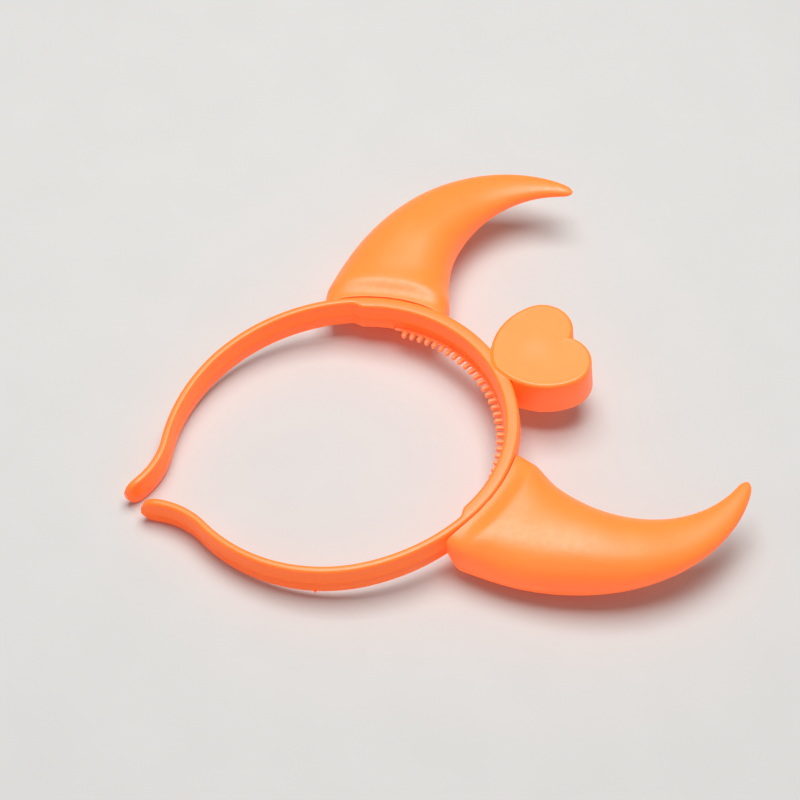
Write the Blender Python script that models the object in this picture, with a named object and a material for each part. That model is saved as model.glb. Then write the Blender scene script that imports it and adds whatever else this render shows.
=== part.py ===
"""Light-up horn headband: a moulded plastic hoop that carries two hollow horns, a heart box and a comb.

The hoop is drawn flat: x runs across it, from the left horn to the right one, y runs from the ends of
its arms up to the heart, and z is the height over its middle plane. It then lies as it rests by itself,
on the ends of its arms and the bellies of its horns.
"""
import bisect
import math
from collections import namedtuple

import bmesh
import bpy
from mathutils import Matrix, Vector

MM = 0.001
GAP = 0.3 * MM  # between pieces that touch

# Hoop: the crown is the thick arc that carries everything, and an arm runs on from each of its ends
CROWN_RADIUS = 56.1 * MM  # outer face
CROWN_HALF_ANGLE = math.radians(63)
CROWN_THICKNESS = 5.5 * MM
ARM_THICKNESS = 3.6 * MM
HOOP_HEIGHT = 12.8 * MM
CROWN_RUN_ON = 4.4 * MM  # thick stretch beyond the crown's arc, on each side
CROWN_STEP_LENGTH = 4.5 * MM  # the slope where the crown steps in from an arm
END_LENGTH = 5.0 * MM  # nearly straight run at the end of each arm
END_RADIUS = 80.0 * MM
END_HEIGHT = 11.3 * MM
END_ROUND = 5.5 * MM  # length over which the end of an arm is rounded off
END_CLOSING = 0.7  # share of the height that the rounding takes off
END_THINNING = 0.4
END_TAPER_SHARE = 0.5  # of an arm, over which its height falls to that of its end

# Comb: short teeth on a strip that is let into the lower inner edge of the crown
COMB_HALF_ANGLE = math.radians(50)
COMB_MARGIN = 4.0 * MM  # strip beyond the last tooth
COMB_STRIP_DEPTH = 1.6 * MM
COMB_HEIGHT = 2.0 * MM
TOOTH_PITCH = 3.15 * MM
TOOTH_WIDTH = 1.8 * MM
TOOTH_LENGTH = 3.0 * MM
TOOTH_EDGE = 0.45 * MM

# Horns: a mirrored pair of shells whose bases follow the outer face of the crown
HORN_SEAT_ANGLE = math.radians(58.8)  # from the top of the crown to the middle of the base
HORN_LENGTH = 104.4 * MM
HORN_HALF_WIDTH = 23.4 * MM
HORN_HALF_THICKNESS = 12.6 * MM
HORN_LEAN = math.radians(-2.2)  # of the middle line where it leaves the crown
HORN_BEND = math.radians(62.3)
HORN_BEND_GROWTH = math.radians(43.4)
HORN_DROP = 4.9 * MM  # of the belly's middle line below the middle plane of the hoop
HORN_TIP_DROP = 2.8 * MM
HORN_COLLAR_STEP = 0.3 * MM  # from the edge of the hoop in to the collar that meets it
HORN_SHOULDER_LENGTH = 8.0 * MM  # over which the upper side rises from the collar
HORN_HEEL_LENGTH = 5.5 * MM  # over which the lower side falls steeply from it
HORN_BELLY_LENGTH = 21.0 * MM  # over which it falls the rest of the way
HORN_WALL = 1.15 * MM
HORN_SIDES = 24

# Heart box: front face and drafted wall in one, with a plain plate let into its back
HEART_WIDTH = 37.7 * MM
HEART_CLEFT = 3.4 * MM  # depth below the tops of the lobes
HEART_TIP_RADIUS = 8.2 * MM
HEART_SIDE_RADIUS = 23.4 * MM
HEART_LENGTH = 34.0 * MM
HEART_OVERLAP = 3.8 * MM  # how far its tip reaches in over the crown
HEART_OFFSET = -3.4 * MM  # from the middle of the crown
HEART_RISE = 0.9 * MM  # of its face over the upper edge of the hoop
HEART_DEPTH = 14.4 * MM
HEART_DRAFT = 0.9 * MM
HEART_WALL = 1.5 * MM
HEART_EDGE = 1.3 * MM
COVER_THICKNESS = 1.5 * MM

# Worked out from the sizes above
CROWN_INNER_RADIUS = CROWN_RADIUS - CROWN_THICKNESS
HORN_COLLAR_HEIGHT = HOOP_HEIGHT - 2 * HORN_COLLAR_STEP
HEART_FACE_Z = HOOP_HEIGHT / 2 + HEART_RISE
HEART_BACK_Z = HEART_FACE_Z - HEART_DEPTH

# Fineness of the mesh
STATION_STEP = 3.6 * MM
FLARE_STEPS = 9
END_STEPS = 5
CUTTER_STEP = math.radians(3)
TOOTH_TIP_STEPS = 3
LOBE_STEPS = 12
SIDE_STEPS = 3
TIP_STEPS = 5
HEART_EDGE_STEPS = 3

Plastic = namedtuple("Plastic", "name colour roughness")
HOOP_PLASTIC = Plastic("hoop_plastic", (1.0, 0.19, 0.04, 1.0), 0.42)
HORN_PLASTIC = Plastic("horn_plastic", (1.0, 0.25, 0.08, 1.0), 0.45)
COMB_PLASTIC = Plastic("comb_plastic", (1.0, 0.27, 0.13, 1.0), 0.42)

# The two arms, which are sprung a little unevenly: radii as shares of that of the crown, turns in degrees,
# and how far from the middle line the outer face of the end is, as a share of the same radius
Arm = namedtuple("Arm", "side_radius side_turn lower_radius flare_radius flare_turn end_across")
LEFT_ARM = Arm(1.21, 19.6, 1.28, 0.50, 38.1, 0.154)
RIGHT_ARM = Arm(1.36, 36.3, 1.05, 0.49, 38.7, 0.020)

# Half section of the hoop, from the middle of its outer face over the top to the middle of its inner
# face: how far in, as a share of the thickness, and how far up, as a share of half the height
HoopCorner = namedtuple("HoopCorner", "inwards up")
HOOP_SECTION = (
    HoopCorner(0.00, 0.00),
    HoopCorner(0.05, 0.84),
    HoopCorner(0.12, 0.95),
    HoopCorner(0.26, 1.00),
    HoopCorner(0.74, 1.00),
    HoopCorner(0.88, 0.95),
    HoopCorner(0.95, 0.84),
    HoopCorner(1.00, 0.00),
)

# Sections of a horn: place as a share of its length, width and thickness as shares of its largest ones.
# Its shoulder brings the thickness up from the height of the collar that meets the crown.
HornSection = namedtuple("HornSection", "along width thickness")
HORN_SECTIONS = (
    HornSection(0.000, 0.935, 0.97),
    HornSection(0.015, 0.955, 0.97),
    HornSection(0.035, 0.975, 0.98),
    HornSection(0.060, 0.980, 0.98),
    HornSection(0.095, 0.950, 0.99),
    HornSection(0.140, 0.905, 1.00),
    HornSection(0.200, 0.840, 1.00),
    HornSection(0.330, 0.700, 0.96),
    HornSection(0.500, 0.555, 0.72),
    HornSection(0.660, 0.415, 0.45),
    HornSection(0.820, 0.255, 0.27),
    HornSection(0.930, 0.145, 0.18),
    HornSection(0.970, 0.105, 0.135),
    HornSection(0.990, 0.070, 0.09),
    HornSection(1.000, 0.030, 0.04),
)
HORN_SECTION_STEP = 0.045
HORN_HOLLOW_STEP = 0.1
HORN_PATH_STEPS = 1000
HORN_HOLLOW_SHARE = 0.90  # of the length that is hollow
HORN_WRAP_SHARE = 0.35  # of the length over which the curve of the base fades out
HORN_SQUARING_SHARE = 0.18  # of the length over which a section turns from the crown to the middle line
HORN_HEEL_SHARE = 0.75  # of the fall of the lower side that lies in its steep first part
HORN_SQUARENESS = 0.9  # 1 is an ellipse, less is squarer
HORN_BASE_SQUARENESS = 0.5  # the base is nearly as box-like as the edge of the hoop that it meets

Station = namedtuple("Station", "x y heading travelled")


def clear_scene():
    for thing in list(bpy.data.objects):
        bpy.data.objects.remove(thing, do_unlink=True)


def plastic_material(plastic):
    material = bpy.data.materials.get(plastic.name)
    if material:
        return material
    material = bpy.data.materials.new(plastic.name)
    material.use_nodes = True
    shader = material.node_tree.nodes["Principled BSDF"]
    shader.inputs["Base Color"].default_value = plastic.colour
    shader.inputs["Roughness"].default_value = plastic.roughness
    shader.inputs["Metallic"].default_value = 0.0
    return material


def add_object(name, mesh_data, plastic, parent):
    mesh = bpy.data.meshes.new(name)
    bmesh.ops.recalc_face_normals(mesh_data, faces=mesh_data.faces)
    mesh_data.to_mesh(mesh)
    mesh_data.free()
    mesh.shade_smooth()
    mesh.set_sharp_from_angle(angle=math.radians(40))
    mesh.materials.append(plastic_material(plastic))
    thing = bpy.data.objects.new(name, mesh)
    thing.parent = parent
    bpy.context.scene.collection.objects.link(thing)
    return thing


def as_cutter(thing):
    thing.hide_render = True
    thing.display_type = "WIRE"
    return thing


def cut_with(thing, cutter):
    cut = thing.modifiers.new("cut", "BOOLEAN")
    cut.operation = "DIFFERENCE"
    cut.solver = "EXACT"
    cut.object = cutter


def add_loop(mesh_data, points):
    """One closed loop of edges through the points, with its vertices in their order."""
    verts = [mesh_data.verts.new(point) for point in points]
    return verts, [mesh_data.edges.new((verts[i - 1], verts[i])) for i in range(len(verts))]


def loft(mesh_data, rings):
    """A closed body through rings of points: each ring is extruded from the one before it."""
    verts, edges = add_loop(mesh_data, rings[0])
    bmesh.ops.contextual_create(mesh_data, geom=edges)
    for ring in rings[1:]:
        grown = bmesh.ops.extrude_edge_only(mesh_data, edges=edges)["geom"]
        fresh = {item for item in grown if isinstance(item, bmesh.types.BMVert)}
        verts = [
            next(edge.other_vert(vert) for edge in vert.link_edges if edge.other_vert(vert) in fresh)
            for vert in verts
        ]
        for vert, point in zip(verts, ring):
            vert.co = point
        edges = [
            item
            for item in grown
            if isinstance(item, bmesh.types.BMEdge) and fresh.issuperset(item.verts)
        ]
    bmesh.ops.contextual_create(mesh_data, geom=edges)


def read_row(rows, column, share):
    """A smooth reading of one column of a table at a share along it."""
    places = [row.along for row in rows]
    index = min(bisect.bisect_right(places, share), len(rows) - 1) - 1
    low, high = rows[index], rows[index + 1]
    span = high.along - low.along
    part = (share - low.along) / span

    def slope(at):
        before, after = rows[max(at - 1, 0)], rows[min(at + 1, len(rows) - 1)]
        return (getattr(after, column) - getattr(before, column)) / (after.along - before.along)

    squared, cubed = part**2, part**3
    return (
        (2 * cubed - 3 * squared + 1) * getattr(low, column)
        + (cubed - 2 * squared + part) * span * slope(index)
        + (3 * squared - 2 * cubed) * getattr(high, column)
        + (cubed - squared) * span * slope(index + 1)
    )


def walk(start, heading, bends):
    """Stations along arcs: each bend is a radius, a turn to the right and the least steps it takes."""
    x, y = start
    travelled = 0.0
    stations = [Station(x, y, heading, travelled)]
    for radius, amount, least_steps in bends:
        length = radius * abs(amount)
        steps = max(least_steps, math.ceil(length / STATION_STEP))
        turn = amount / steps
        chord = 2 * radius * math.sin(abs(turn) / 2)
        for _ in range(steps):
            middle = heading - turn / 2
            x += chord * math.cos(middle)
            y += chord * math.sin(middle)
            heading -= turn
            travelled += length / steps
            stations.append(Station(x, y, heading, travelled))
    return stations


def half_hoop(arm):
    """Half of the hoop on the +x side, from the top of the crown to the end of an arm.

    The long lower bend turns just enough to bring the end of the arm to its distance from the middle.
    """
    crown = walk((0.0, CROWN_RADIUS), 0.0, [(CROWN_RADIUS, CROWN_HALF_ANGLE, 2)])
    leave = crown[-1]

    def stations(lower_turn):
        bends = [
            (arm.side_radius * CROWN_RADIUS, math.radians(arm.side_turn), 2),
            (arm.lower_radius * CROWN_RADIUS, lower_turn, 2),
            (arm.flare_radius * CROWN_RADIUS, -math.radians(arm.flare_turn), FLARE_STEPS),
            (END_RADIUS, -END_LENGTH / END_RADIUS, END_STEPS),
        ]
        return walk((leave.x, leave.y), leave.heading, bends)

    least, most = math.radians(30), math.radians(90)
    for _ in range(40):
        middle = (least + most) / 2
        if stations(middle)[-1].x > arm.end_across * CROWN_RADIUS:
            least = middle
        else:
            most = middle
    arm_part = [s._replace(travelled=s.travelled + leave.travelled) for s in stations(least)]
    return crown[:-1] + arm_part


def hoop_size_at(station, total):
    """Thickness and height of the hoop at a station, of the total length of its half."""
    crown_length = CROWN_RADIUS * CROWN_HALF_ANGLE
    past_crown = station.travelled - crown_length - CROWN_RUN_ON
    arm_share = min(1.0, max(0.0, past_crown / CROWN_STEP_LENGTH))
    thickness = CROWN_THICKNESS + (ARM_THICKNESS - CROWN_THICKNESS) * arm_share
    taper_length = (total - crown_length) * END_TAPER_SHARE
    taper = min(1.0, max(0.0, 1 - (total - station.travelled) / taper_length))
    height = HOOP_HEIGHT + (END_HEIGHT - HOOP_HEIGHT) * taper
    into_end = max(0.0, 1 - (total - station.travelled) / END_ROUND)
    rounding = 1 - math.sqrt(max(0.0, 1 - into_end**2))
    return thickness * (1 - END_THINNING * rounding), height * (1 - END_CLOSING * rounding)


def place_section(station, side, section):
    """Places a section, given as how far in and how far up, on the right side (1) or the left one (-1)."""
    out_x, out_y = -math.sin(station.heading), math.cos(station.heading)
    return [
        Vector((side * (station.x - out_x * inwards), station.y - out_y * inwards, up))
        for inwards, up in section
    ]


def hoop_ring(station, side, total):
    thickness, height = hoop_size_at(station, total)
    half = [(corner.inwards * thickness, corner.up * height / 2) for corner in HOOP_SECTION]
    section = half + [(inwards, -up) for inwards, up in reversed(half[1:-1])]
    return place_section(station, side, section)


def clearance_ring(station, side, total):
    inner = hoop_size_at(station, total)[0] + GAP
    top = HOOP_HEIGHT / 2 + GAP
    return place_section(station, side, ((-GAP, top), (inner, top), (inner, -top), (-GAP, -top)))


def hoop_rings(ring_at):
    """Rings all along the hoop, from the end of the left arm to the end of the right one."""
    left, right = half_hoop(LEFT_ARM), half_hoop(RIGHT_ARM)
    rings = [ring_at(station, -1, left[-1].travelled) for station in reversed(left)]
    return rings + [ring_at(station, 1, right[-1].travelled) for station in right[1:]]


def hoop_clearance(parent):
    """Cutter that is larger than the hoop by the gap."""
    mesh_data = bmesh.new()
    loft(mesh_data, hoop_rings(clearance_ring))
    return as_cutter(add_object("hoop_clearance", mesh_data, HOOP_PLASTIC, parent))


def make_headband(parent):
    mesh_data = bmesh.new()
    loft(mesh_data, hoop_rings(hoop_ring))
    headband = add_object("headband", mesh_data, HOOP_PLASTIC, parent)
    seat_edge = GAP / CROWN_RADIUS + COMB_HALF_ANGLE + COMB_MARGIN / CROWN_INNER_RADIUS
    seat = ring_sector(
        "comb_seat",
        inner=CROWN_INNER_RADIUS - CROWN_THICKNESS,
        outer=CROWN_INNER_RADIUS + COMB_STRIP_DEPTH + GAP,
        low=-HOOP_HEIGHT,
        high=-HOOP_HEIGHT / 2 + COMB_HEIGHT + GAP,
        middle=0.0,
        half_angle=seat_edge,
        parent=parent,
    )
    cut_with(headband, seat)
    return headband


def ring_sector(name, inner, outer, low, high, middle, half_angle, parent):
    """A cutter: part of a flat ring round the middle of the crown, its angles read from the heart's side."""
    mesh_data = bmesh.new()
    steps = math.ceil(2 * half_angle / CUTTER_STEP)
    rings = []
    for i in range(steps + 1):
        angle = middle - half_angle + 2 * half_angle * i / steps
        across = Vector((math.sin(angle), math.cos(angle), 0.0))
        corners = ((inner, low), (outer, low), (outer, high), (inner, high))
        rings.append([across * radius + Vector((0, 0, z)) for radius, z in corners])
    loft(mesh_data, rings)
    return as_cutter(add_object(name, mesh_data, HOOP_PLASTIC, parent))


def tooth_outline(angle):
    """One tooth seen from above, rooted on the inner face of the crown."""
    inwards = Vector((-math.sin(angle), -math.cos(angle)))
    along = Vector((math.cos(angle), -math.sin(angle)))
    half = TOOTH_WIDTH / 2
    root = -inwards * CROWN_INNER_RADIUS
    points = [root - along * half]
    for i in range(TOOTH_TIP_STEPS + 1):
        turn = math.pi * i / TOOTH_TIP_STEPS
        reach = TOOTH_LENGTH - half + half * math.sin(turn)
        points.append(root + inwards * reach - along * half * math.cos(turn))
    points.append(root + along * half)
    return points


def make_comb(parent):
    count = 1 + int(2 * COMB_HALF_ANGLE * CROWN_INNER_RADIUS / TOOTH_PITCH)
    pitch_angle = TOOTH_PITCH / CROWN_INNER_RADIUS
    end_angle = COMB_HALF_ANGLE + COMB_MARGIN / CROWN_INNER_RADIUS
    back_radius = CROWN_INNER_RADIUS + COMB_STRIP_DEPTH
    outline = []
    for i in range(count):
        outline += tooth_outline((i - (count - 1) / 2) * pitch_angle)
    back_steps = math.ceil(2 * end_angle / CUTTER_STEP)
    front_end = Vector((math.sin(end_angle), math.cos(end_angle))) * CROWN_INNER_RADIUS
    outline.append(front_end)
    for i in range(back_steps + 1):
        angle = end_angle - 2 * end_angle * i / back_steps
        outline.append(Vector((math.sin(angle), math.cos(angle))) * back_radius)
    outline.append(Vector((-front_end.x, front_end.y)))

    mesh_data = bmesh.new()
    low = -HOOP_HEIGHT / 2
    edges = add_loop(mesh_data, [(point.x, point.y, low) for point in outline])[1]
    face = bmesh.ops.contextual_create(mesh_data, geom=edges)["faces"]
    raised = bmesh.ops.extrude_face_region(mesh_data, geom=face, use_keep_orig=True)
    raised_verts = [item for item in raised["geom"] if isinstance(item, bmesh.types.BMVert)]
    bmesh.ops.translate(mesh_data, verts=raised_verts, vec=(0, 0, COMB_HEIGHT))
    flat_edges = [
        edge for edge in mesh_data.edges if abs(edge.verts[0].co.z - edge.verts[1].co.z) < GAP
    ]
    bmesh.ops.bevel(
        mesh_data, geom=flat_edges, offset=TOOTH_EDGE, segments=2, profile=0.5, affect="EDGES", material=-1
    )
    return add_object("comb_strip", mesh_data, COMB_PLASTIC, parent)


def horn_path():
    """Middle line of the right horn as points with headings, in fine steps along its length."""
    radial = math.pi / 2 - HORN_SEAT_ANGLE
    place = Vector((math.cos(radial), math.sin(radial))) * (CROWN_RADIUS + GAP)
    path = []
    for i in range(HORN_PATH_STEPS + 1):
        share = i / HORN_PATH_STEPS
        heading = radial + HORN_LEAN + HORN_BEND * share + HORN_BEND_GROWTH * share**2
        if i:
            middle = (heading + path[-1][1]) / 2
            step = Vector((math.cos(middle), math.sin(middle))) * HORN_LENGTH / HORN_PATH_STEPS
            place = place + step
        path.append((place, heading))
    return path


def horn_loop(path, share, inset, side):
    """Section of a horn. Near the base it wraps round the outer face of the crown."""
    place, heading = path[round(share * HORN_PATH_STEPS)]
    radial = math.pi / 2 - HORN_SEAT_ANGLE
    squared_up = 1 - eased(share / HORN_SQUARING_SHARE)
    squareness = HORN_SQUARENESS + (HORN_BASE_SQUARENESS - HORN_SQUARENESS) * squared_up
    heading += (radial - heading) * squared_up
    half_width = HORN_HALF_WIDTH * read_row(HORN_SECTIONS, "width", share) - inset
    full = HORN_HALF_THICKNESS * read_row(HORN_SECTIONS, "thickness", share)
    drop = HORN_DROP + (HORN_TIP_DROP - HORN_DROP) * share
    collar = HORN_COLLAR_HEIGHT / 2
    raised = math.sin(math.pi / 2 * min(1.0, share * HORN_LENGTH / HORN_SHOULDER_LENGTH))
    lowered = HORN_HEEL_SHARE * eased(share * HORN_LENGTH / HORN_HEEL_LENGTH)
    lowered += (1 - HORN_HEEL_SHARE) * eased(share * HORN_LENGTH / HORN_BELLY_LENGTH)
    top = collar + (full - drop - collar) * raised
    bottom = -collar - (full + drop - collar) * lowered
    middle_z = (top + bottom) / 2
    half_thickness = (top - bottom) / 2 - inset
    forwards = Vector((math.cos(heading), math.sin(heading)))
    sideways = Vector((-math.sin(heading), math.cos(heading)))
    seat_radius = CROWN_RADIUS + GAP
    wrap = max(0.0, 1 - share / HORN_WRAP_SHARE) ** 2
    ring = []
    for i in range(HORN_SIDES):
        angle = 2 * math.pi * i / HORN_SIDES
        across = half_width * squarish(math.cos(angle), squareness)
        up = half_thickness * squarish(math.sin(angle), squareness)
        back = (seat_radius - math.sqrt(seat_radius**2 - across**2)) * wrap
        point = place + sideways * across - forwards * back
        ring.append(Vector((side * point.x, point.y, middle_z + up)))
    return ring


def squarish(value, squareness):
    """Pulls a section outwards from an ellipse."""
    return math.copysign(abs(value) ** squareness, value)


def eased(share):
    """Rises smoothly from 0 to 1."""
    share = min(1.0, share)
    return share * share * (3 - 2 * share)


def horn_shares(last, step):
    """Places of the sections: each row of the table, and more between rows that lie far apart."""
    shares = [0.0]
    for low, high in zip(HORN_SECTIONS, HORN_SECTIONS[1:]):
        top = min(high.along, last)
        parts = max(1, math.ceil((top - low.along) / step - 0.01))
        shares += [low.along + (top - low.along) * (i + 1) / parts for i in range(parts)]
        if high.along >= last:
            break
    return shares


def make_horn(name, side, parent, clearance):
    path = horn_path()
    mesh_data = bmesh.new()
    outer = [horn_loop(path, share, 0.0, side) for share in horn_shares(1.0, HORN_SECTION_STEP)]
    inner = [
        horn_loop(path, share, HORN_WALL, side)
        for share in horn_shares(HORN_HOLLOW_SHARE, HORN_HOLLOW_STEP)
    ]
    loft(mesh_data, outer[::-1] + inner)
    horn = add_object(name, mesh_data, HORN_PLASTIC, parent)
    cut_with(horn, clearance)
    return horn


def arc_points(centre, radius, start, end, steps):
    return [
        centre + Vector((math.cos(angle), math.sin(angle))) * radius
        for angle in (start + (end - start) * i / steps for i in range(steps + 1))
    ]


def heart_outline(inset):
    """The heart from above, drawn in by an inset: two lobes and a round tip, joined by long side arcs."""
    lobe_radius = HEART_WIDTH / 2 + HEART_CLEFT - math.sqrt(HEART_WIDTH * HEART_CLEFT)
    lobe = Vector((HEART_WIDTH / 2 - lobe_radius, HEART_LENGTH - lobe_radius))
    tip = Vector((0.0, HEART_TIP_RADIUS))
    between = lobe - tip
    to_lobe = HEART_SIDE_RADIUS - lobe_radius
    to_tip = HEART_SIDE_RADIUS - HEART_TIP_RADIUS
    along = (to_tip**2 - to_lobe**2 + between.length_squared) / (2 * between.length)
    off = math.sqrt(to_tip**2 - along**2)
    unit = between.normalized()
    side = tip + unit * along + Vector((-unit.y, unit.x)) * off

    def direction(start, end):
        return math.atan2(end.y - start.y, end.x - start.x)

    radius = lobe_radius - inset
    cleft_angle = math.acos(-lobe.x / radius)
    side_to_lobe = direction(side, lobe)
    side_to_tip = direction(side, tip)
    half = arc_points(lobe, radius, cleft_angle, side_to_lobe, LOBE_STEPS)
    half += arc_points(side, HEART_SIDE_RADIUS - inset, side_to_lobe, side_to_tip, SIDE_STEPS)[1:]
    half += arc_points(tip, HEART_TIP_RADIUS - inset, side_to_tip, -math.pi / 2, TIP_STEPS)[1:]
    half[0].x = 0.0
    half[-1].x = 0.0
    place = Vector((HEART_OFFSET, CROWN_RADIUS - HEART_OVERLAP))
    whole = half + [Vector((-point.x, point.y)) for point in reversed(half[1:-1])]
    return [point + place for point in whole]


def heart_ring(inset, z):
    """Outline of the heart at a height, drawn in by an inset from its drafted outer wall."""
    draft = HEART_DRAFT * (HEART_FACE_Z - z) / HEART_DEPTH
    return [(point.x, point.y, z) for point in heart_outline(inset - draft)]


def make_heart_case(parent, saddle):
    mesh_data = bmesh.new()
    rings = []
    for i in range(HEART_EDGE_STEPS + 1):
        turn = math.pi / 2 * i / HEART_EDGE_STEPS
        inset = HEART_EDGE * (1 - math.sin(turn))
        rings.append(heart_ring(inset, HEART_FACE_Z - HEART_EDGE * (1 - math.cos(turn))))
    rings.append(heart_ring(0.0, HEART_BACK_Z))
    rings.append(heart_ring(HEART_WALL, HEART_BACK_Z))
    rings.append(heart_ring(HEART_WALL, HEART_FACE_Z - HEART_WALL))
    loft(mesh_data, rings)
    case = add_object("heart_case", mesh_data, HOOP_PLASTIC, parent)
    cut_with(case, saddle)
    return case


def heart_saddle(parent):
    """Cutter for what the heart leaves to the hoop: its tip lies over the crown and stops behind it."""
    return ring_sector(
        "heart_saddle",
        inner=CROWN_INNER_RADIUS - GAP,
        outer=CROWN_RADIUS + GAP,
        low=-HOOP_HEIGHT,
        high=HOOP_HEIGHT / 2 + GAP,
        middle=HEART_OFFSET / CROWN_RADIUS,
        half_angle=HEART_WIDTH / CROWN_RADIUS,
        parent=parent,
    )


def make_heart_cover(parent, saddle):
    mesh_data = bmesh.new()
    inset = HEART_WALL + GAP
    loft(mesh_data, [heart_ring(inset, z) for z in (HEART_BACK_Z, HEART_BACK_Z + COVER_THICKNESS)])
    cover = add_object("heart_cover", mesh_data, HOOP_PLASTIC, parent)
    cut_with(cover, saddle)
    return cover


def resting_tilt(pieces):
    """Angle by which the hoop leans, its ends low, when their ends and the bellies of the horns rest."""
    points = [(vert.co.y, vert.co.z) for piece in pieces for vert in piece.data.vertices]
    ends = [point for point in points if point[0] < 0]
    front = [point for point in points if point[0] > 0]
    tilt = 0.0
    for _ in range(4):
        foot = min(ends, key=lambda p: p[0] * math.sin(tilt) + p[1] * math.cos(tilt))
        tilt = -min(math.atan2(p[1] - foot[1], p[0] - foot[0]) for p in front)
    return tilt


def lay_down(pose, pieces):
    """Tilts the whole object to its resting lean and stands the middle of its box on the origin."""
    tilt = resting_tilt(pieces)
    turn = Matrix.Rotation(tilt, 3, "X")
    points = [turn @ vert.co for piece in pieces for vert in piece.data.vertices]
    middle = [(min(p[i] for p in points) + max(p[i] for p in points)) / 2 for i in (0, 1)]
    pose.rotation_euler = (tilt, 0.0, 0.0)
    pose.location = (-middle[0], -middle[1], -min(p.z for p in points))


def main():
    clear_scene()
    pose = bpy.data.objects.new("lying_pose", None)
    bpy.context.scene.collection.objects.link(pose)
    saddle = heart_saddle(pose)
    clearance = hoop_clearance(pose)
    pieces = [
        make_headband(pose),
        make_comb(pose),
        make_horn("horn_left", -1, pose, clearance),
        make_horn("horn_right", 1, pose, clearance),
        make_heart_case(pose, saddle),
        make_heart_cover(pose, saddle),
    ]
    lay_down(pose, pieces)


main()
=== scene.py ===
import math

import bmesh
import bpy
from mathutils import Matrix, Vector


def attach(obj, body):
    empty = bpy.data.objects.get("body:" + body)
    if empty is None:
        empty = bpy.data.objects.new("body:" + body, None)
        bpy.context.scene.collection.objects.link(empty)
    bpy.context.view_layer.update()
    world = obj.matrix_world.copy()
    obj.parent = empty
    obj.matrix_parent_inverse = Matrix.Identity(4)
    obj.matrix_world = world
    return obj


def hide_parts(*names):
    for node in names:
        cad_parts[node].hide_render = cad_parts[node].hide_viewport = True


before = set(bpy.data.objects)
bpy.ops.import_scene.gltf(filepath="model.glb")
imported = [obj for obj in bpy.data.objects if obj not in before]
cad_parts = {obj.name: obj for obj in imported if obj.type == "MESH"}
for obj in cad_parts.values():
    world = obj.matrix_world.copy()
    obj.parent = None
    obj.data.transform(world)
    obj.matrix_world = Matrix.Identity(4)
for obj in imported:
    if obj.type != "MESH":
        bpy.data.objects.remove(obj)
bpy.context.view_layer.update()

mm = 0.001

# How the headband lies: the ends of its arms are low and the bellies of its horns touch the floor
lying = {
    "tilt": 5.3809,  # degrees about the x axis
    "offset": (0.0, -15.039, 13.288),  # mm, to where the middle of the crown's circle comes
}
lyingMatrix = Matrix.Translation(Vector(lying["offset"]) * mm) @ Matrix.Rotation(
    math.radians(lying["tilt"]), 4, "X")


def toLinear(hexColour):
    linear = []
    for i in (1, 3, 5):
        part = int(hexColour[i:i + 2], 16) / 255
        linear.append(part / 12.92 if part <= 0.04045 else ((part + 0.055) / 1.055) ** 2.4)
    return (*linear, 1.0)


def addNode(tree, kind, settings=None, inputs=None, links=None):
    # one node with its settings, its socket values and what feeds its sockets
    node = tree.nodes.new(kind)
    for name, value in (settings or {}).items():
        setattr(node, name, value)
    for name, value in (inputs or {}).items():
        node.inputs[name].default_value = value
    for name, source in (links or {}).items():
        tree.links.new(source, node.inputs[name])
    return node


def newTree(name):
    material = bpy.data.materials.new(name)
    material.use_nodes = True
    tree = material.node_tree
    tree.nodes.clear()
    return material, tree


# Injection-moulded fluorescent styrene: satin and a little see-through, with a painted highlight on its
# rounded edges and a painted orange glow all over
neonPlastic = {
    "ior": 1.57,  # polystyrene
    "clouding": 42 * mm,  # size of the pigment's uneven patches
    "grain": 0.9 * mm,  # spark-eroded mould grain is 0.03 mm; drawn this coarse so that it shows
    "grainHeight": 0.012 * mm,
    "ripple": 9 * mm,  # sink and flow waves of a thin moulding
    "rippleHeight": 0.05 * mm,
    "scratch": 2.2 * mm,
    "wearFrom": 0.3, "wearTo": 0.7, "smoother": 0.05, "rougher": 0.06,
    "paintedRimFrom": 0.505, "paintedRimTo": 0.60, "paintedRimShare": 0.55,  # pointiness at which an edge starts to get its painted highlight
    "scatter": (1.0, 0.28, 0.08),  # red light travels furthest inside
}


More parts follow.
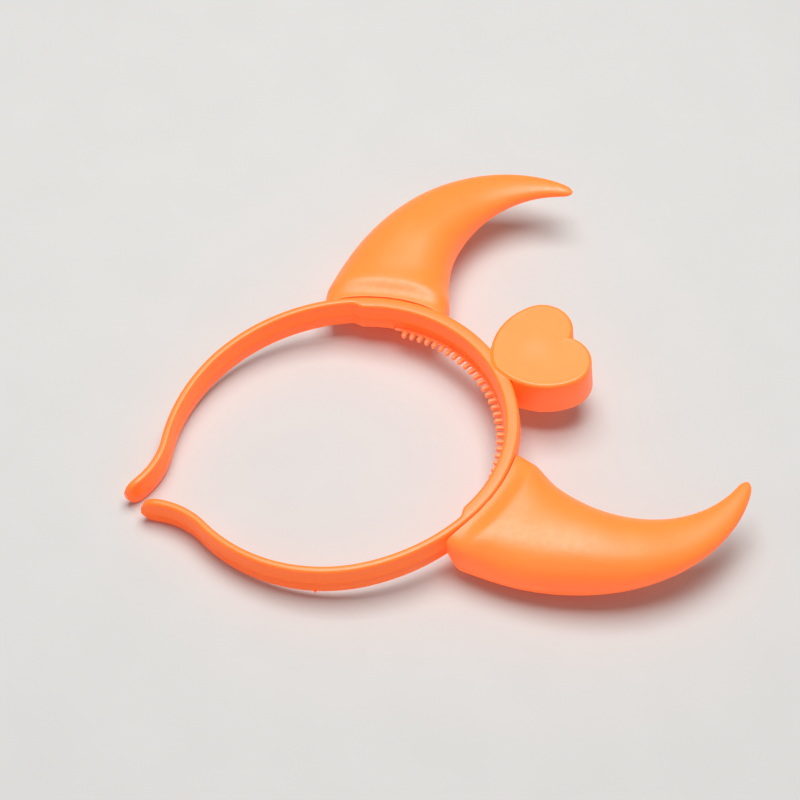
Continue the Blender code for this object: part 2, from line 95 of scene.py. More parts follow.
def makeNeonPlastic(name, look):
    material, tree = newTree(name)
    place = addNode(tree, "ShaderNodeTexCoord").outputs["Object"]
    cloud = addNode(
        tree, "ShaderNodeTexNoise",
        inputs={"Scale": 1 / neonPlastic["clouding"], "Detail": 3.0, "Roughness": 0.55},
        links={"Vector": place})
    tint = addNode(
        tree, "ShaderNodeMix", {"data_type": "RGBA"},
        inputs={"A": toLinear(look["deep"]), "B": toLinear(look["light"])},
        links={"Factor": cloud.outputs["Fac"]})
    bend = addNode(tree, "ShaderNodeNewGeometry").outputs["Pointiness"]
    thin = addNode(  # painted highlight: the rounded edges are tinted paler
        tree, "ShaderNodeMapRange",
        inputs={"From Min": neonPlastic["paintedRimFrom"], "From Max": neonPlastic["paintedRimTo"],
                "To Min": 0.0, "To Max": neonPlastic["paintedRimShare"]},
        links={"Value": bend})
    tint = addNode(
        tree, "ShaderNodeMix", {"data_type": "RGBA"}, inputs={"B": toLinear(look["rim"])},
        links={"Factor": thin.outputs["Result"], "A": tint.outputs["Result"]})
    if "paintedSpotAt" in look:  # painted light: a paler spot on the face, as if a lamp behind it shone through
        away = addNode(
            tree, "ShaderNodeVectorMath", {"operation": "DISTANCE"}, links={0: place})
        away.inputs[1].default_value = lyingMatrix @ (Vector(look["paintedSpotAt"]) * mm)
        near = addNode(
            tree, "ShaderNodeMapRange", {"interpolation_type": "SMOOTHSTEP"},
            inputs={"From Min": 0.0, "From Max": look["paintedSpotSize"],
                    "To Min": look["paintedSpotShare"], "To Max": 0.0},
            links={"Value": away.outputs["Value"]})
        tint = addNode(
            tree, "ShaderNodeMix", {"data_type": "RGBA"}, inputs={"B": toLinear(look["rim"])},
            links={"Factor": near.outputs["Result"], "A": tint.outputs["Result"]})
    grain = addNode(
        tree, "ShaderNodeTexNoise",
        inputs={"Scale": 1 / neonPlastic["grain"], "Detail": 2.0}, links={"Vector": place})
    ripple = addNode(
        tree, "ShaderNodeTexNoise",
        inputs={"Scale": 1 / neonPlastic["ripple"], "Detail": 1.0}, links={"Vector": place})
    wear = addNode(
        tree, "ShaderNodeTexNoise",
        inputs={"Scale": 1 / neonPlastic["scratch"], "Detail": 5.0, "Roughness": 0.7},
        links={"Vector": place})
    rough = addNode(
        tree, "ShaderNodeMapRange",
        inputs={"From Min": neonPlastic["wearFrom"], "From Max": neonPlastic["wearTo"],
                "To Min": look["roughness"] - neonPlastic["smoother"],
                "To Max": look["roughness"] + neonPlastic["rougher"]},
        links={"Value": wear.outputs["Fac"]})
    waves = addNode(
        tree, "ShaderNodeBump",
        inputs={"Strength": 1.0, "Distance": neonPlastic["rippleHeight"]},
        links={"Height": ripple.outputs["Fac"]})
    fine = addNode(
        tree, "ShaderNodeBump",
        inputs={"Strength": 1.0, "Distance": neonPlastic["grainHeight"]},
        links={"Height": grain.outputs["Fac"], "Normal": waves.outputs["Normal"]})
    # the emission is a painted glow: a steady orange light that no lamp casts, standing in for the pigment's
    # fluorescence and keeping the shaded sides bright
    shader = addNode(
        tree, "ShaderNodeBsdfPrincipled",
        inputs={"IOR": neonPlastic["ior"], "Metallic": 0.0,
                "Subsurface Weight": look["subsurface"],
                "Subsurface Radius": neonPlastic["scatter"],
                "Subsurface Scale": look["depth"],
                "Emission Color": toLinear(look["paintedGlow"]),
                "Emission Strength": look["paintedGlowStrength"]},
        links={"Base Color": tint.outputs["Result"], "Roughness": rough.outputs["Result"],
               "Normal": fine.outputs["Normal"]})
    addNode(tree, "ShaderNodeOutputMaterial", links={"Surface": shader.outputs["BSDF"]})
    return material


# each look: two pigment tones, the colour of the painted edge highlight and painted spot, and the painted
# glow's colour and strength
hoopMaterial = makeNeonPlastic("fluorescent styrene, hoop", {
    "deep": "#ff8020", "light": "#ff8c2c", "rim": "#ff9450", "roughness": 0.36,
    "subsurface": 0.2, "depth": 2.5 * mm, "paintedGlow": "#ff3404", "paintedGlowStrength": 0.38})
heartMaterial = makeNeonPlastic("fluorescent styrene, heart", {
    "deep": "#ff8622", "light": "#ff9430", "rim": "#ffac78", "roughness": 0.38,
    "subsurface": 0.2, "depth": 3 * mm, "paintedGlow": "#ff3a06", "paintedGlowStrength": 0.38,
    "paintedSpotAt": (-3.4, 69.5, 7.3), "paintedSpotSize": 8 * mm, "paintedSpotShare": 0.22})
hornMaterial = makeNeonPlastic("fluorescent styrene, thin horn shell", {
    "deep": "#ff8630", "light": "#ff943e", "rim": "#ffa87c", "roughness": 0.40,
    "subsurface": 0.3, "depth": 4 * mm, "paintedGlow": "#ff480f", "paintedGlowStrength": 0.38})
combMaterial = makeNeonPlastic("fluorescent styrene, comb strip", {
    "deep": "#ff904c", "light": "#ff9c5c", "rim": "#ffb48c", "roughness": 0.36,
    "subsurface": 0.3, "depth": 2 * mm, "paintedGlow": "#ff5c2c", "paintedGlowStrength": 0.38})
print("materials made")


# What every moulded piece shares: closed rings of points in millimetres, skinned one after another
def loft(form, rings):
    verts = [form.verts.new(point) for point in rings[0]]
    edges = [form.edges.new((verts[i - 1], verts[i])) for i in range(len(verts))]
    bmesh.ops.contextual_create(form, geom=edges)
    for ring in rings[1:]:
        grown = bmesh.ops.extrude_edge_only(form, edges=edges)["geom"]
        fresh = {item for item in grown if isinstance(item, bmesh.types.BMVert)}
        verts = [next(edge.other_vert(vert) for edge in vert.link_edges
                      if edge.other_vert(vert) in fresh) for vert in verts]
        for vert, point in zip(verts, ring):
            vert.co = point
        edges = [item for item in grown
                 if isinstance(item, bmesh.types.BMEdge) and fresh.issuperset(item.verts)]
    bmesh.ops.contextual_create(form, geom=edges)


def eased(share):
    # from 0 to 1, slow at both ends
    share = min(1.0, max(0.0, share))
    return share * share * (3 - 2 * share)


sharpFrom = 38  # degrees between two faces from which their edge shows as an edge


def finishPiece(form, name, material, sharpAngle=sharpFrom):
    # lays the flat-drawn form down as the headband lies, in metres
    bmesh.ops.recalc_face_normals(form, faces=form.faces)
    bmesh.ops.transform(
        form, matrix=lyingMatrix @ Matrix.Scale(mm, 4), verts=form.verts)
    mesh = bpy.data.meshes.new(name)
    form.to_mesh(mesh)
    form.free()
    mesh.shade_smooth()
    mesh.set_sharp_from_angle(angle=math.radians(sharpAngle))
    mesh.materials.append(material)
    piece = bpy.data.objects.new(name, mesh)
    bpy.context.scene.collection.objects.link(piece)
    return piece


def cutAway(piece, cutter):
    # takes the cutter's form out of the piece and keeps the result as its mesh
    cut = piece.modifiers.new("cut", "BOOLEAN")
    cut.operation = "DIFFERENCE"
    cut.solver = "EXACT"
    cut.object = cutter
    bpy.context.view_layer.update()
    made = piece.evaluated_get(bpy.context.evaluated_depsgraph_get())
    mesh = bpy.data.meshes.new_from_object(made)
    piece.modifiers.clear()
    piece.data = mesh
    mesh.shade_smooth()
    mesh.set_sharp_from_angle(angle=math.radians(sharpFrom))


def standFor(piece, *nodes, slot):
    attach(piece, "root")
    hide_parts(*nodes)


# The hoop: a thick crown arc with a thinner arm on each side, drafted from a line at half height
hoop = {
    "radius": 56.1, "crownHalfAngle": 63.0,
    "crownThickness": 5.5, "armThickness": 3.6, "height": 12.8,
    "runOn": 4.4,  # thick stretch beyond the crown's arc
    "stepLength": 4.5,  # the inner slope from crown to arm
    "endHeight": 11.3, "endRound": 5.5, "endClosing": 0.7, "endThinning": 0.4, "taperShare": 0.5,
    "endBendRadius": 80.0, "endLength": 5.0,
    "edge": 1.15, "edgeShare": 0.32,  # rounding of its edges, at most this share of the thickness
    "draft": 0.3,  # lean of the faces away from the parting line
    "parting": 0.18, "partingHalf": 0.22,  # height of the line where the mould halves met
    "rebateLean": 0.6, "rebateEdge": 0.2, "rebateEdgeHeight": 0.25, "rebateCorner": 0.02,
    "step": 1.3,  # mm between sections
    "lowerTurnFrom": 30.0, "lowerTurnTo": 90.0, "halvings": 40,  # search for the arm's lower turn
    # radii as shares of the crown's, turns in degrees, and where the end is across, as a share too
    "leftArm": {"side": 1.21, "sideTurn": 19.6, "lower": 1.28, "flare": 0.50, "flareTurn": 38.1,
                "across": 0.154},
    "rightArm": {"side": 1.36, "sideTurn": 36.3, "lower": 1.05, "flare": 0.49, "flareTurn": 38.7,
                 "across": 0.020},
}
gap = 0.3  # mm between two pieces where it stays out of sight
seam = 0.06  # mm between two pieces where it shows as a hair line
comb = {
    "halfAngle": 50.0, "margin": 4.0, "depth": 1.6, "height": 2.0,
    "pitch": 3.15, "toothWidth": 1.8, "toothLength": 3.0, "tipSteps": 10, "rounding": 0.6,
    "rootFlare": 1.25, "rootFillet": 0.5, "tipShare": 0.96, "backSteps": 70, "roundingSteps": 3,
}
innerRadius = hoop["radius"] - hoop["crownThickness"]


def walk(x, y, heading, travelled, bends):
    stations = [(x, y, heading, travelled)]
    for radius, turn in bends:
        steps = max(3, math.ceil(radius * abs(turn) / hoop["step"]))
        for i in range(steps):
            middle = heading - turn / steps / 2
            chord = 2 * radius * math.sin(abs(turn) / steps / 2)
            x += math.cos(middle) * chord
            y += math.sin(middle) * chord
            heading -= turn / steps
            travelled += radius * abs(turn) / steps
            stations.append((x, y, heading, travelled))
    return stations


def halfHoop(arm):
    radius = hoop["radius"]
    crown = walk(0.0, radius, 0.0, 0.0, [(radius, math.radians(hoop["crownHalfAngle"]))])
    low, high = math.radians(hoop["lowerTurnFrom"]), math.radians(hoop["lowerTurnTo"])
    for _ in range(hoop["halvings"]):
        turn = (low + high) / 2
        rest = walk(*crown[-1], [
            (arm["side"] * radius, math.radians(arm["sideTurn"])), (arm["lower"] * radius, turn),
            (arm["flare"] * radius, -math.radians(arm["flareTurn"])),
            (hoop["endBendRadius"], -hoop["endLength"] / hoop["endBendRadius"])])
        if rest[-1][0] > arm["across"] * radius:
            low = turn
        else:
            high = turn
    return crown[:-1] + rest


def hoopSection(travelled, total, seated):
    # (how far in, how far up) all round, from the outer parting line over the top
    crownLength = hoop["radius"] * math.radians(hoop["crownHalfAngle"])
    inArm = eased((travelled - crownLength - hoop["runOn"]) / hoop["stepLength"])
    thick = hoop["crownThickness"] + (hoop["armThickness"] - hoop["crownThickness"]) * inArm
    taper = min(1.0, max(0.0, 1 - (total - travelled) / ((total - crownLength) * hoop["taperShare"])))
    half = (hoop["height"] + (hoop["endHeight"] - hoop["height"]) * taper) / 2
    into = min(1.0, max(0.0, 1 - (total - travelled) / hoop["endRound"]))
    rounding = 1 - math.sqrt(1 - into * into)
    thick *= 1 - hoop["endThinning"] * rounding
    half *= 1 - hoop["endClosing"] * rounding
    edge, draft = min(hoop["edge"], thick * hoop["edgeShare"]), hoop["draft"]
    arc = [math.radians(a) for a in range(0, 91, 18)]
    line = hoop["partingHalf"]
    outer = [(-hoop["parting"], 0.0), (0.0, line)] + [
        (draft + edge - edge * math.cos(a), half - edge + edge * math.sin(a)) for a in arc]
    inner = [(thick - draft - edge + edge * math.sin(a), half - edge + edge * math.cos(a))
             for a in arc] + [(thick, line), (thick + hoop["parting"], 0.0), (thick, -line)]
    if seated:  # the rebate that takes the comb's strip
        back, roof = thick - comb["depth"] - gap, -half + comb["height"] + gap
        front = thick - draft * hoop["rebateLean"]
        across, up = hoop["rebateEdge"], hoop["rebateEdgeHeight"]
        lowInner = [(front, roof + up), (front - across, roof),
                    (back, roof), (back, roof - hoop["rebateCorner"]),
                    (back, -half + up), (back - across, -half)]
    else:
        lowInner = [(thick - draft - edge + edge * math.cos(a), -half + edge - edge * math.sin(a))
                    for a in arc]
    lowOuter = [(draft + edge - edge * math.sin(a), -half + edge - edge * math.cos(a))
                for a in arc] + [(0.0, -line)]
    return outer + inner + lowInner + lowOuter


def rebateReach():
    # how far along the hoop's outer face, from its middle, the comb's rebate goes
    halfAngle = math.radians(comb["halfAngle"]) + (comb["margin"] + gap) / innerRadius
    return halfAngle * hoop["radius"]


def hoopRing(station, side, total):
    x, y, heading, travelled = station
    outX, outY = -math.sin(heading), math.cos(heading)
    return [Vector((side * (x - outX * inwards), y - outY * inwards, up))
            for inwards, up in hoopSection(travelled, total, travelled < rebateReach())]


def makeHoop():
    reach = rebateReach()
    nudge = 0.01  # of a section's length
    rings = []
    for side, arm in ((-1, hoop["leftArm"]), (1, hoop["rightArm"])):
        stations = halfHoop(arm)
        total = stations[-1][3]
        fine = []
        for low, high in zip(stations, stations[1:]):
            fine.append(low)
            if low[3] < reach <= high[3]:  # two sections close together where the rebate ends
                share = (reach - low[3]) / (high[3] - low[3])
                for at in (share - nudge, share + nudge):
                    fine.append(tuple(a + (b - a) * at for a, b in zip(low, high)))
        fine.append(stations[-1])
        half = [hoopRing(station, side, total) for station in fine]
        rings += half[::-1] if side < 0 else half[1:]
    form = bmesh.new()
    loft(form, rings)
    piece = finishPiece(form, "moulded_hoop", hoopMaterial)
    standFor(piece, "headband", slot="hoop_plastic")


makeHoop()
print("hoop made")


def toothOutline(angle):
    inwards = Vector((-math.sin(angle), -math.cos(angle)))
    along = Vector((math.cos(angle), -math.sin(angle)))
    half = comb["toothWidth"] / 2
    root = -inwards * innerRadius
    flare, fillet = half * comb["rootFlare"], inwards * comb["rootFillet"]
    points = [root - along * flare, root - along * half + fillet]
    for i in range(comb["tipSteps"] + 1):
        turn = math.pi * i / comb["tipSteps"]
        reach = comb["toothLength"] - half + half * math.sin(turn)
        points.append(root + inwards * reach - along * half * math.cos(turn) * comb["tipShare"])
    return points + [root + along * half + fillet, root + along * flare]


def makeComb():
    halfAngle = math.radians(comb["halfAngle"])
    count = 1 + int(2 * halfAngle * innerRadius / comb["pitch"])
    endAngle = halfAngle + comb["margin"] / innerRadius
    outline = []
    for i in range(count):
        outline += toothOutline((i - (count - 1) / 2) * comb["pitch"] / innerRadius)
    outline.append(Vector((math.sin(endAngle), math.cos(endAngle))) * innerRadius)
    for i in range(comb["backSteps"] + 1):
        angle = endAngle - 2 * endAngle * i / comb["backSteps"]
        outline.append(Vector((math.sin(angle), math.cos(angle))) * (innerRadius + comb["depth"]))
    outline.append(Vector((-math.sin(endAngle), math.cos(endAngle))) * innerRadius)
    form = bmesh.new()
    low = -hoop["height"] / 2
    verts = [form.verts.new((point.x, point.y, low)) for point in outline]
    edges = [form.edges.new((verts[i - 1], verts[i])) for i in range(len(verts))]
    face = bmesh.ops.contextual_create(form, geom=edges)["faces"]
    raised = bmesh.ops.extrude_face_region(form, geom=face, use_keep_orig=True)["geom"]
    bmesh.ops.translate(form, vec=(0, 0, comb["height"]),
                        verts=[item for item in raised if isinstance(item, bmesh.types.BMVert)])
    level = comb["height"] / 2
    flat = [edge for edge in form.edges
            if abs(edge.verts[0].co.z - edge.verts[1].co.z) < level]
    bmesh.ops.bevel(form, geom=flat, offset=comb["rounding"], segments=comb["roundingSteps"],
                    profile=0.5, affect="EDGES", material=-1, clamp_overlap=True)
    piece = finishPiece(form, "comb_teeth", combMaterial)
    standFor(piece, "comb_strip", slot="comb_plastic")


makeComb()
print("comb made")

# A mirrored pair of thin shells; their bases follow the hoop's outer face
horn = {
    "seatAngle": 58.8, "length": 104.4, "halfWidth": 23.4, "halfThickness": 12.46,
    "lean": -2.2, "bend": 62.3, "bendGrowth": 43.4,  # degrees
    "drop": 4.9, "tipDrop": 2.8,  # of its middle below the hoop's, at the base and at the tip
    "collarStep": 0.3, "collar": 1.2, "shoulder": 7.4,  # the upper side rises between these two
    "brow": 0.5, "browSize": 4.5,  # the low ridge where it stops rising
    "falls": ((0.75, 5.5), (0.25, 21.0)),  # shares of the lower side's fall, and their lengths
    "wall": 1.15, "hollowShare": 0.9, "parting": 0.10,
    "squareness": 0.9, "baseSquareness": 0.5, "squaringShare": 0.18, "wrapShare": 0.35,
    "seatShare": 0.07, "seatFrom": -20.0,  # where the base follows the hoop's outer face
    "sides": 72, "sections": 110, "pathSteps": 1100, "crowding": 1.25, "sharpAngle": 50,
    # place along, width, thickness, each as a share
    "table": ((0.0, 0.935, 0.97), (0.015, 0.955, 0.97), (0.035, 0.975, 0.98), (0.06, 0.98, 0.98),
              (0.095, 0.95, 0.99), (0.14, 0.905, 1.0), (0.2, 0.84, 1.0), (0.33, 0.7, 0.96),
              (0.5, 0.555, 0.72), (0.66, 0.415, 0.45), (0.82, 0.255, 0.27), (0.93, 0.145, 0.18),
              (0.97, 0.105, 0.135), (0.99, 0.07, 0.09), (1.0, 0.03, 0.04)),
}


def readTable(column, share):
    # a smooth curve through the table's rows
    rows = horn["table"]
    index = max(i for i in range(len(rows) - 1) if rows[i][0] <= share or i == 0)
    low, high = rows[index], rows[index + 1]
    span = high[0] - low[0]
    part = (share - low[0]) / span

    def slope(at):
        before, after = rows[max(at - 1, 0)], rows[min(at + 1, len(rows) - 1)]
        return (after[column] - before[column]) / (after[0] - before[0])

    return ((2 * part**3 - 3 * part**2 + 1) * low[column]
            + (part**3 - 2 * part**2 + part) * span * slope(index)
            + (3 * part**2 - 2 * part**3) * high[column]
            + (part**3 - part**2) * span * slope(index + 1))


def hornPath():
    radial = math.pi / 2 - math.radians(horn["seatAngle"])
    place = Vector((math.cos(radial), math.sin(radial))) * (hoop["radius"] + seam)
    path = []
    for i in range(horn["pathSteps"] + 1):
        share = i / horn["pathSteps"]
        heading = radial + math.radians(
            horn["lean"] + horn["bend"] * share + horn["bendGrowth"] * share**2)
        if i:
            middle = (heading + path[-1][1]) / 2
            stride = horn["length"] / horn["pathSteps"]
            place = place + Vector((math.cos(middle), math.sin(middle))) * stride
        path.append((place, heading))
    return path


def hornRing(path, share, inset, side, seat):
    place, heading = path[round(share * horn["pathSteps"])]
    radial = math.pi / 2 - math.radians(horn["seatAngle"])
    squaring = 1 - eased(share / horn["squaringShare"])
    heading += (radial - heading) * squaring
    squareness = horn["squareness"] + (horn["baseSquareness"] - horn["squareness"]) * squaring
    width = horn["halfWidth"] * readTable(1, share) - inset
    full = horn["halfThickness"] * readTable(2, share)
    drop = horn["drop"] + (horn["tipDrop"] - horn["drop"]) * share
    collar = hoop["height"] / 2 - horn["collarStep"]
    travelled = share * horn["length"]
    raised = eased((travelled - horn["collar"]) / (horn["shoulder"] - horn["collar"]))
    brow = horn["brow"] * math.exp(-((travelled - horn["shoulder"]) / horn["browSize"])**2)
    lowered = sum(part * eased(travelled / stretch) for part, stretch in horn["falls"])
    top = collar + (full - drop - collar + brow) * raised
    bottom = -collar - (full + drop - collar) * lowered
    middleZ, thickness = (top + bottom) / 2, (top - bottom) / 2 - inset
    forwards = Vector((math.cos(heading), math.sin(heading)))
    sideways = Vector((-math.sin(heading), math.cos(heading)))
    seatRadius = hoop["radius"] + seam
    wrap = max(0.0, 1 - share / horn["wrapShare"]) ** 2
    ring = []
    for i in range(horn["sides"]):
        angle = 2 * math.pi * i / horn["sides"]
        c, s = math.cos(angle), math.sin(angle)
        across = width * math.copysign(abs(c) ** squareness, c)
        up = thickness * math.copysign(abs(s) ** squareness, s)
        if i % (horn["sides"] // 2) == 0 and not inset:
            across += math.copysign(horn["parting"], across)
        back = (seatRadius - math.sqrt(seatRadius**2 - across**2)) * wrap
        point = place + sideways * across - forwards * back
        polar = math.atan2(point.x, point.y)
        beyond = (seat(polar) + seam) / seatRadius - 1
        point = point * (1 + max(0.0, beyond) * max(0.0, 1 - share / horn["seatShare"]))
        ring.append(Vector((side * point.x, point.y, middleZ + up)))
    return ring


def makeHorn(name, node, side, arm):
    outline = sorted((math.atan2(x, y), math.hypot(x, y))
                     for x, y, _, _ in halfHoop(arm) if y > horn["seatFrom"])

    def seat(polar):  # how far the hoop's outer face is from the middle in that direction
        for low, high in zip(outline, outline[1:]):
            if low[0] <= polar < high[0]:
                return low[1] + (high[1] - low[1]) * (polar - low[0]) / (high[0] - low[0])
        return hoop["radius"]

    path = hornPath()
    shares = [(i / horn["sections"]) ** horn["crowding"] for i in range(horn["sections"] + 1)]
    outer = [hornRing(path, share, 0.0, side, seat) for share in shares]
    inner = [hornRing(path, share, horn["wall"], side, seat)
             for share in shares if share < horn["hollowShare"]]
    form = bmesh.new()
    loft(form, outer[::-1] + inner)
    piece = finishPiece(form, name, hornMaterial, sharpAngle=horn["sharpAngle"])
    standFor(piece, node, slot="horn_plastic")


makeHorn("left_horn_shell", "horn_left", -1, hoop["leftArm"])
makeHorn("right_horn_shell", "horn_right", 1, hoop["rightArm"])
print("horns made")

# Where runners were broken off: a short stub on the near arm and one on the far horn's base
stubs = {
    "radius": 0.55, "endShare": 0.8, "height": 1.0, "sides": 20, "edge": 0.15, "edgeSteps": 2,
    "rimAngle": 0.8,  # radians between the faces of its end rims, at least
    "places": (((51.5, -38.1, -5.7), (0.83, -0.55, -0.1)), ((-43.0, 51.0, -3.2), (0.35, 0.93, 0.1))),
}


def makeStubs():
    form = bmesh.new()
    for place, way in stubs["places"]:
        turn = Vector(way).to_track_quat("Z", "Y").to_matrix().to_4x4()
        fresh = bmesh.ops.create_cone(
            form, cap_ends=True, segments=stubs["sides"], radius1=stubs["radius"],
            radius2=stubs["radius"] * stubs["endShare"], depth=stubs["height"],
            matrix=Matrix.Translation(place) @ turn)["verts"]
        rim = {edge for vert in fresh for edge in vert.link_edges
               if edge.calc_face_angle() > stubs["rimAngle"]}
        bmesh.ops.bevel(form, geom=list(rim), offset=stubs["edge"], segments=stubs["edgeSteps"],
                        profile=0.5, affect="EDGES", material=-1)
    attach(finishPiece(form, "gate_stubs", hoopMaterial), "root")


makeStubs()
print("gate stubs made")

# The heart box: front face, rounded rim and drafted wall in one, and a plate let into its back
heart = {
    "width": 37.7, "cleft": 3.4, "tipRadius": 8.2, "sideRadius": 23.4, "length": 34.0,
    "overlap": 3.8, "offset": -3.4, "rise": 0.9, "depth": 14.4, "draft": 0.9, "wall": 1.5,
    "edge": 1.3, "cover": 1.5, "dish": 0.12,
    "valley": 0.6, "valleyFrom": 0.1, "valleyWidth": 1.8,  # where the rim runs out over the hoop
    "middle": 0.55,  # of its length from the tip to the point that the face's rings draw in to
    "faceRings": (0.02, 0.1, 0.2, 0.3, 0.4, 0.5, 0.6, 0.7, 0.8, 0.88, 0.94, 0.98),
    "backEdge": ((0.0, 0.35), (0.1, 0.1), (0.35, 0.0)),  # how far in, how far up
    "mouthEdge": 0.2, "plateEdge": 0.25,
    "blockHalfAngle": 39.0, "blockSteps": 60,
    "lobeSteps": 44, "sideSteps": 14, "tipSteps": 18, "edgeSteps": 8,
}
heartFace = hoop["height"] / 2 + heart["rise"]
heartBack = heartFace - heart["depth"]


def arcPoints(centre, radius, start, end, steps):
    return [centre + Vector((math.cos(a), math.sin(a))) * radius
            for a in (start + (end - start) * i / steps for i in range(steps + 1))]


def heartOutline(inset):
    width, cleft = heart["width"], heart["cleft"]
    lobeRadius = width / 2 + cleft - math.sqrt(width * cleft)
    lobe = Vector((width / 2 - lobeRadius, heart["length"] - lobeRadius))
    tip = Vector((0.0, heart["tipRadius"]))
    between = lobe - tip
    toLobe, toTip = heart["sideRadius"] - lobeRadius, heart["sideRadius"] - heart["tipRadius"]
    along = (toTip**2 - toLobe**2 + between.length_squared) / (2 * between.length)
    unit = between.normalized()
    side = tip + unit * along + Vector((-unit.y, unit.x)) * math.sqrt(toTip**2 - along**2)
    sideToLobe = math.atan2(lobe.y - side.y, lobe.x - side.x)
    sideToTip = math.atan2(tip.y - side.y, tip.x - side.x)
    radius = lobeRadius - inset
    half = arcPoints(lobe, radius, math.acos(-lobe.x / radius), sideToLobe, heart["lobeSteps"])
    half += arcPoints(side, heart["sideRadius"] - inset, sideToLobe, sideToTip, heart["sideSteps"])[1:]
    half += arcPoints(tip, heart["tipRadius"] - inset, sideToTip, -math.pi / 2, heart["tipSteps"])[1:]
    half[0].x = half[-1].x = 0.0
    place = Vector((heart["offset"], hoop["radius"] - heart["overlap"]))
    return [point + place for point in half + [Vector((-p.x, p.y)) for p in reversed(half[1:-1])]]


def heartRing(inset, z, share=1.0):
    # the outline at one height, drafted, and drawn in towards the heart's middle by a share
    draft = heart["draft"] * (heartFace - z) / heart["depth"]
    middle = Vector((heart["offset"], hoop["radius"] - heart["overlap"] + heart["length"] * heart["middle"]))
    return [(*(middle + (point - middle) * share), z) for point in heartOutline(inset - draft)]


def overHoop(point):
    # 1 over the crown, where the heart's edge runs out in a soft valley, and 0 beyond it
    inwards = hoop["radius"] + heart["valleyFrom"] - math.hypot(point[0], point[1])
    return eased(inwards / heart["valleyWidth"])


def hoopBlock():
    # what the heart leaves free for the hoop
    rings = []
    steps, halfAngle = heart["blockSteps"], math.radians(heart["blockHalfAngle"])
    for i in range(steps + 1):
        angle = halfAngle * (2 * i / steps - 1) + heart["offset"] / hoop["radius"]
        across = Vector((math.sin(angle), math.cos(angle), 0.0))
        low, high = -hoop["height"], hoop["height"] / 2 + seam
        near, far = innerRadius - gap, hoop["radius"] + seam
        rings.append([across * r + Vector((0, 0, z))
                      for r, z in ((near, low), (far, low), (far, high), (near, high))])
    form = bmesh.new()
    loft(form, rings)
    return finishPiece(form, "hoop_block", hoopMaterial)


def makeHeart():
    block = hoopBlock()
    rings = [heartRing(heart["edge"], heartFace - heart["dish"] * (1 - share**2) ** 0.5, share)
             for share in heart["faceRings"]]
    for i in range(heart["edgeSteps"] + 1):
        part = i / heart["edgeSteps"]
        turn = math.pi / 2 * part
        rounded = heartRing(heart["edge"] * (1 - math.sin(turn)),
                            heartFace - heart["edge"] * (1 - math.cos(turn)))
        blended = heartRing(heart["edge"] - (heart["edge"] + heart["valley"]) * part,
                            heartFace - (heart["rise"] - seam) * eased(part))
        rings.append([Vector(a).lerp(Vector(b), overHoop(b)) for a, b in zip(rounded, blended)])
    mouth = heart["mouthEdge"]
    for inset, up in (*heart["backEdge"], (heart["wall"] - mouth, 0.0), (heart["wall"], mouth)):
        rings.append(heartRing(inset, heartBack + up))
    rings.append(heartRing(heart["wall"], heartFace - heart["wall"]))
    form = bmesh.new()
    loft(form, rings)
    case = finishPiece(form, "heart_front_and_wall", heartMaterial)
    cutAway(case, block)
    standFor(case, "heart_case", slot="hoop_plastic")
    inset = heart["wall"] + gap
    form = bmesh.new()
    loft(form, [heartRing(inset + heart["plateEdge"], heartBack),
                heartRing(inset, heartBack + mouth), heartRing(inset, heartBack + heart["cover"])])
    cover = finishPiece(form, "heart_back_plate", hoopMaterial)
    cutAway(cover, block)
    standFor(cover, "heart_cover", slot="hoop_plastic")
    bpy.data.objects.remove(block, do_unlink=True)


makeHeart()
print("heart made")


# A pale, very slightly uneven studio table top
table = {"halfSize": 3.0, "mottle": 1 / 30, "dark": "#cdccc9", "light": "#d3d2cf", "roughness": 0.8}


def makeFloor():
    material, tree = newTree("painted board, matt pale grey")
    place = addNode(tree, "ShaderNodeTexCoord").outputs["Object"]
    mottle = addNode(
        tree, "ShaderNodeTexNoise", inputs={"Scale": 1 / table["mottle"], "Detail": 4.0},
        links={"Vector": place})
    tint = addNode(
        tree, "ShaderNodeMix", {"data_type": "RGBA"},
        inputs={"A": toLinear(table["dark"]), "B": toLinear(table["light"])},
        links={"Factor": mottle.outputs["Fac"]})
    shader = addNode(
        tree, "ShaderNodeBsdfPrincipled", inputs={"Roughness": table["roughness"]},
        links={"Base Color": tint.outputs["Result"]})
    addNode(tree, "ShaderNodeOutputMaterial", links={"Surface": shader.outputs["BSDF"]})
    form = bmesh.new()
    bmesh.ops.create_grid(form, x_segments=2, y_segments=2, size=table["halfSize"])
    mesh = bpy.data.meshes.new("floor")
    form.to_mesh(mesh)
    form.free()
    mesh.materials.append(material)
    floor = bpy.data.objects.new("floor", mesh)
    bpy.context.scene.collection.objects.link(floor)


makeFloor()

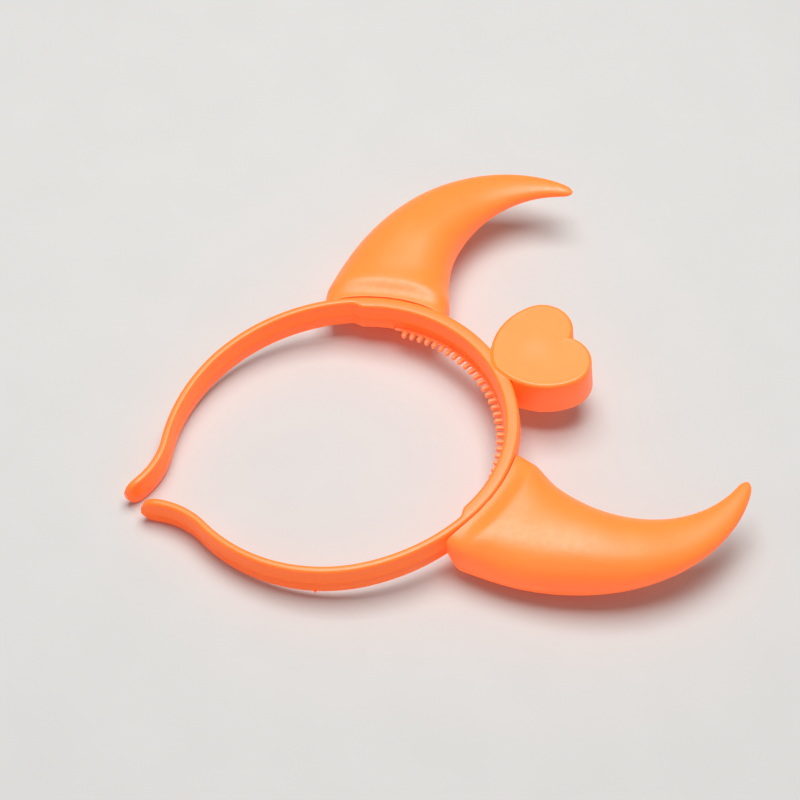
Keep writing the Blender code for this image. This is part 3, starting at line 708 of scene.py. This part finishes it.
# The photograph's camera, told in the flat hoop's own directions
photoCamera = {
    "azimuth": 70.350, "elevation": 54.421, "roll": -3.330,  # degrees
    "distance": 824.0, "target": (-7.126, 17.529),  # mm
    "lens": 103.46, "sensor": 36.0,  # mm
    "nearest": 0.01,  # m from which it sees
}


def makeCamera():
    a, e, r = (math.radians(photoCamera[k]) for k in ("azimuth", "elevation", "roll"))
    back = Vector((math.sin(a) * math.cos(e), -math.cos(a) * math.cos(e), math.sin(e)))
    flatRight = Vector((math.cos(a), math.sin(a), 0.0))
    flatUp = back.cross(flatRight)
    right = flatRight * math.cos(r) + flatUp * math.sin(r)
    up = flatUp * math.cos(r) - flatRight * math.sin(r)
    place = Vector((*photoCamera["target"], 0.0)) * mm + back * photoCamera["distance"] * mm
    pose = Matrix((right, up, back)).transposed().to_4x4()
    pose.translation = place
    data = bpy.data.cameras.new("photo camera")
    data.sensor_width = photoCamera["sensor"]
    data.lens = photoCamera["lens"]
    data.clip_start = photoCamera["nearest"]
    camera = bpy.data.objects.new("photo camera", data)
    camera.matrix_world = lyingMatrix @ pose
    bpy.context.scene.collection.objects.link(camera)
    bpy.context.scene.camera = camera


makeCamera()

# Plain soft studio light: a large box overhead, a weaker one from the front and a pale surround
softBoxes = (
    {"name": "overhead box", "at": (-0.18, 0.06, 1.15), "size": 0.8, "watts": 15.0},
    {"name": "side box", "at": (0.9, -0.5, 0.7), "size": 0.7, "watts": 0.6},
)
surround = {"colour": "#f2f4f8", "strength": 0.25}


def makeLight():
    for box in softBoxes:
        data = bpy.data.lights.new(box["name"], "AREA")
        data.size = box["size"]
        data.energy = box["watts"]
        light = bpy.data.objects.new(box["name"], data)
        light.location = box["at"]
        light.rotation_euler = (-Vector(box["at"])).to_track_quat("-Z", "Y").to_euler()
        bpy.context.scene.collection.objects.link(light)
    world = bpy.data.worlds.new("pale surround")
    world.use_nodes = True
    sky = world.node_tree.nodes["Background"]
    sky.inputs["Color"].default_value = toLinear(surround["colour"])
    sky.inputs["Strength"].default_value = surround["strength"]
    bpy.context.scene.world = world


makeLight()
bpy.context.scene.view_settings.view_transform = "Standard"
print("camera, floor and light made")
